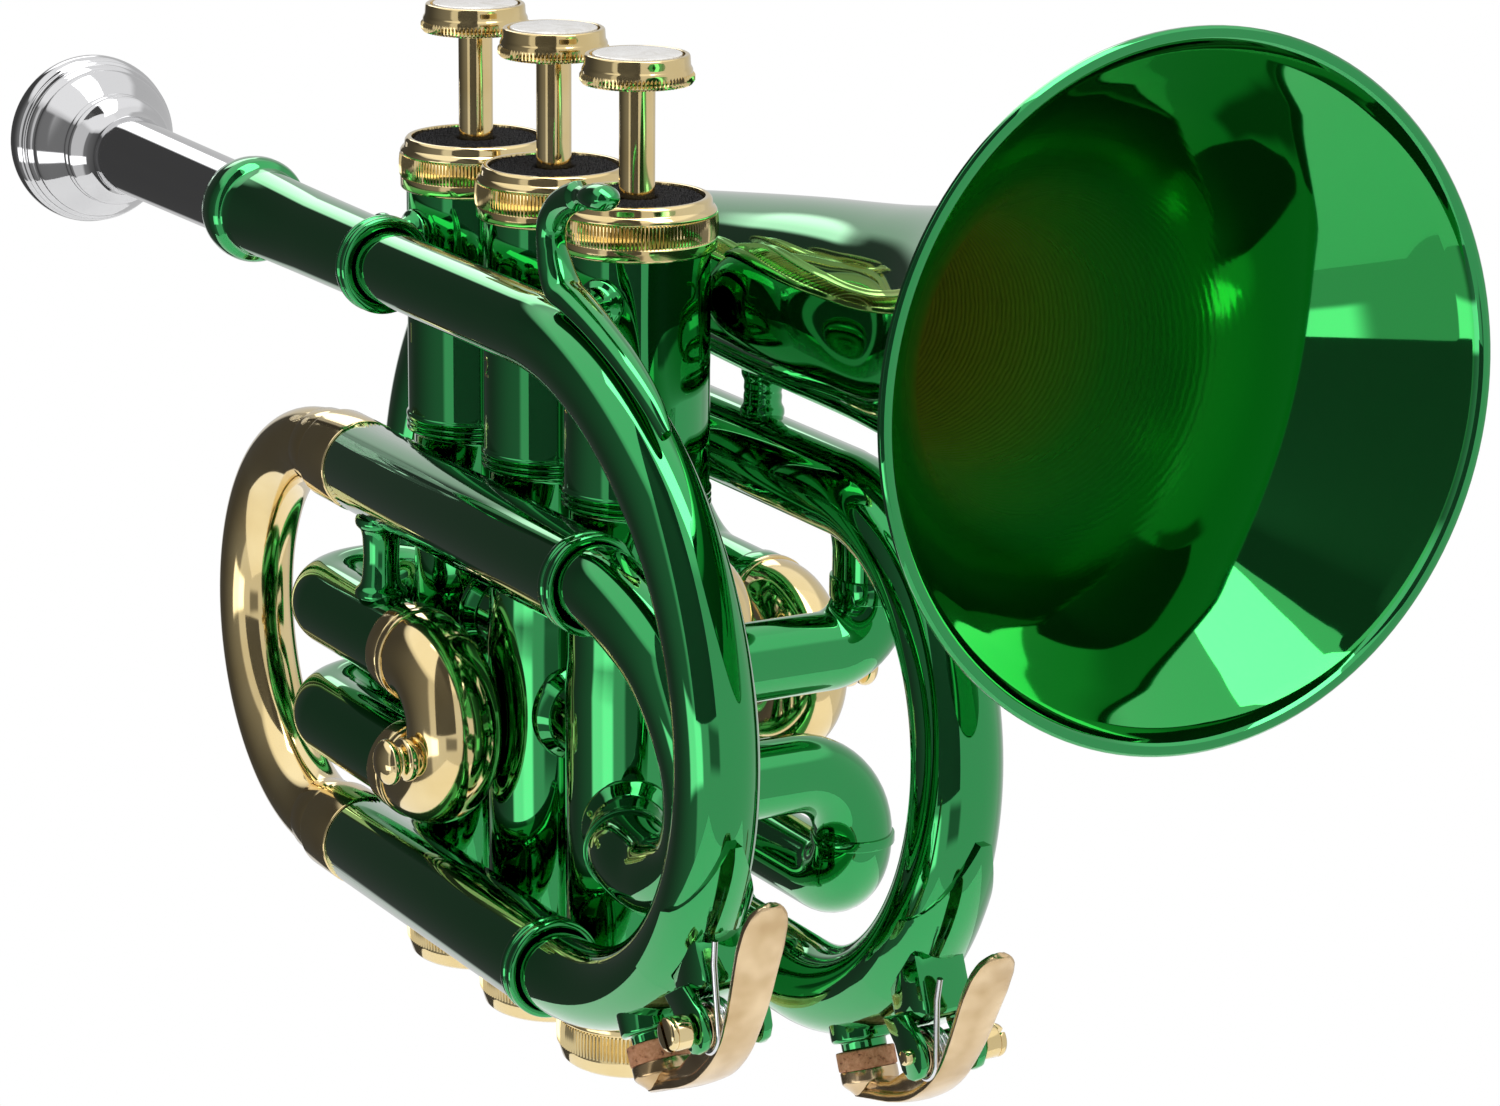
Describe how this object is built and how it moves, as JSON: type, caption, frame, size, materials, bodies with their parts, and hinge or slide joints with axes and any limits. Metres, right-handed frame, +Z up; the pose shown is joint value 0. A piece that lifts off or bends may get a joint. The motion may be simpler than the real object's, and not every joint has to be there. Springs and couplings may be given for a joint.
{
  "type": "pocket trumpet",
  "caption": "Compact wound brass trumpet with piston valves, pull-out slides, water keys, a finger hook and a flared bell.",
  "frame": {"origin": "axis of the middle valve at the flat face of its bottom cap", "axes": "+X towards the bell mouth, +Z up the valves towards the buttons, +Y towards the bell side"},
  "size_m": [0.2624, 0.1081, 0.167],
  "materials": {
    "chrome": "polished plate",
    "brass": "polished, clear lacquer",
    "green": "glossy lacquer",
    "felt": "felt",
    "pearl": "pearl",
    "steel": "bright wire",
    "valve_metal": "polished",
    "cork": "natural cork"
  },
  "bodies": {
    "main": {"bell": "green", "bell_brace": "green", "bottom_cap_1": "brass", "bottom_cap_2": "brass", "bottom_cap_3": "brass", "bow_b": "green", "casing_1": "green", "casing_2": "green", "casing_3": "green", "felt_1": "felt", "felt_2": "felt", "felt_3": "felt", "finger_hook": "green", "inner_bow": "green", "key_a_screw": "brass", "key_a_seat": "green", "key_b_screw": "brass", "key_b_seat": "green", "leg_brace": "green", "lower_leg_ferrule": "brass", "lower_leg_sleeve": "green", "mouthpipe": "green", "mouthpipe_brace_front": "green", "mouthpipe_brace_rear": "green", "outlet_tube": "green", "rear_bow": "green", "receiver": "green", "slide_1_ferrule_lower": "brass", "slide_1_ferrule_upper": "brass", "slide_1_sleeve_lower": "green", "slide_1_sleeve_upper": "green", "slide_2_sleeves": "green", "slide_3_sleeve_lower": "green", "slide_3_sleeve_upper": "green", "spring_1": "steel", "spring_2": "steel", "spring_3": "steel", "top_cap_1": "brass", "top_cap_2": "brass", "top_cap_3": "brass", "upper_leg_ferrule": "brass", "upper_leg_sleeve": "green"},
    "valve_1": {"piston_1": "valve_metal", "button_1": "brass", "pearl_1": "pearl"},
    "valve_2": {"piston_2": "valve_metal", "button_2": "brass", "pearl_2": "pearl"},
    "valve_3": {"piston_3": "valve_metal", "button_3": "brass", "pearl_3": "pearl"},
    "mouthpiece": {"mouthpiece": "chrome"},
    "tuning_slide": {"tuning_crook": "brass"},
    "slide_1": {"slide_1_crook": "brass"},
    "slide_2": {"slide_2_crook": "brass"},
    "slide_3": {"slide_3_crook": "brass"},
    "water_key_a": {"key_a_lever": "brass", "key_a_cork": "cork"},
    "water_key_b": {"key_b_lever": "brass", "key_b_cork": "cork"}
  },
  "joints": [
    {"name": "valve_1_press", "type": "slide", "parent": "main", "child": "valve_1", "axis": [0, 0, -1], "range_m": [0, 0.015], "stiffness_N_per_m": 120, "springref_m": -0.014, "deforming": ["spring_1"]},
    {"name": "valve_2_press", "type": "slide", "parent": "main", "child": "valve_2", "axis": [0, 0, -1], "range_m": [0, 0.015], "stiffness_N_per_m": 120, "springref_m": -0.014, "deforming": ["spring_2"]},
    {"name": "valve_3_press", "type": "slide", "parent": "main", "child": "valve_3", "axis": [0, 0, -1], "range_m": [0, 0.015], "stiffness_N_per_m": 120, "springref_m": -0.014, "deforming": ["spring_3"]},
    {"name": "mouthpiece_pull", "type": "slide", "parent": "main", "child": "mouthpiece", "axis": [-1, 0, 0], "range_m": [0, 0.03]},
    {"name": "tuning_slide_pull", "type": "slide", "parent": "main", "child": "tuning_slide", "axis": [-1, 0, 0], "range_m": [0, 0.022]},
    {"name": "slide_1_pull", "type": "slide", "parent": "main", "child": "slide_1", "axis": [1, 0, 0], "range_m": [0, 0.01]},
    {"name": "slide_2_pull", "type": "slide", "parent": "main", "child": "slide_2", "axis": [0, 1, 0], "range_m": [0, 0.004]},
    {"name": "slide_3_pull", "type": "slide", "parent": "main", "child": "slide_3", "axis": [1, 0, 0], "range_m": [0, 0.012]},
    {"name": "water_key_a_open", "type": "hinge", "parent": "main", "child": "water_key_a", "pos_m": [0.08731, -0.01879, 0.02902], "axis": [0, -1, 0], "range_deg": [0, 9], "stiffness_Nm_per_rad": 0.06, "springref_deg": -28.65},
    {"name": "water_key_b_open", "type": "hinge", "parent": "main", "child": "water_key_b", "pos_m": [0.08317, 0.01823, 0.01688], "axis": [0, -1, 0], "range_deg": [0, 9], "stiffness_Nm_per_rad": 0.06, "springref_deg": -28.65}
  ]
}
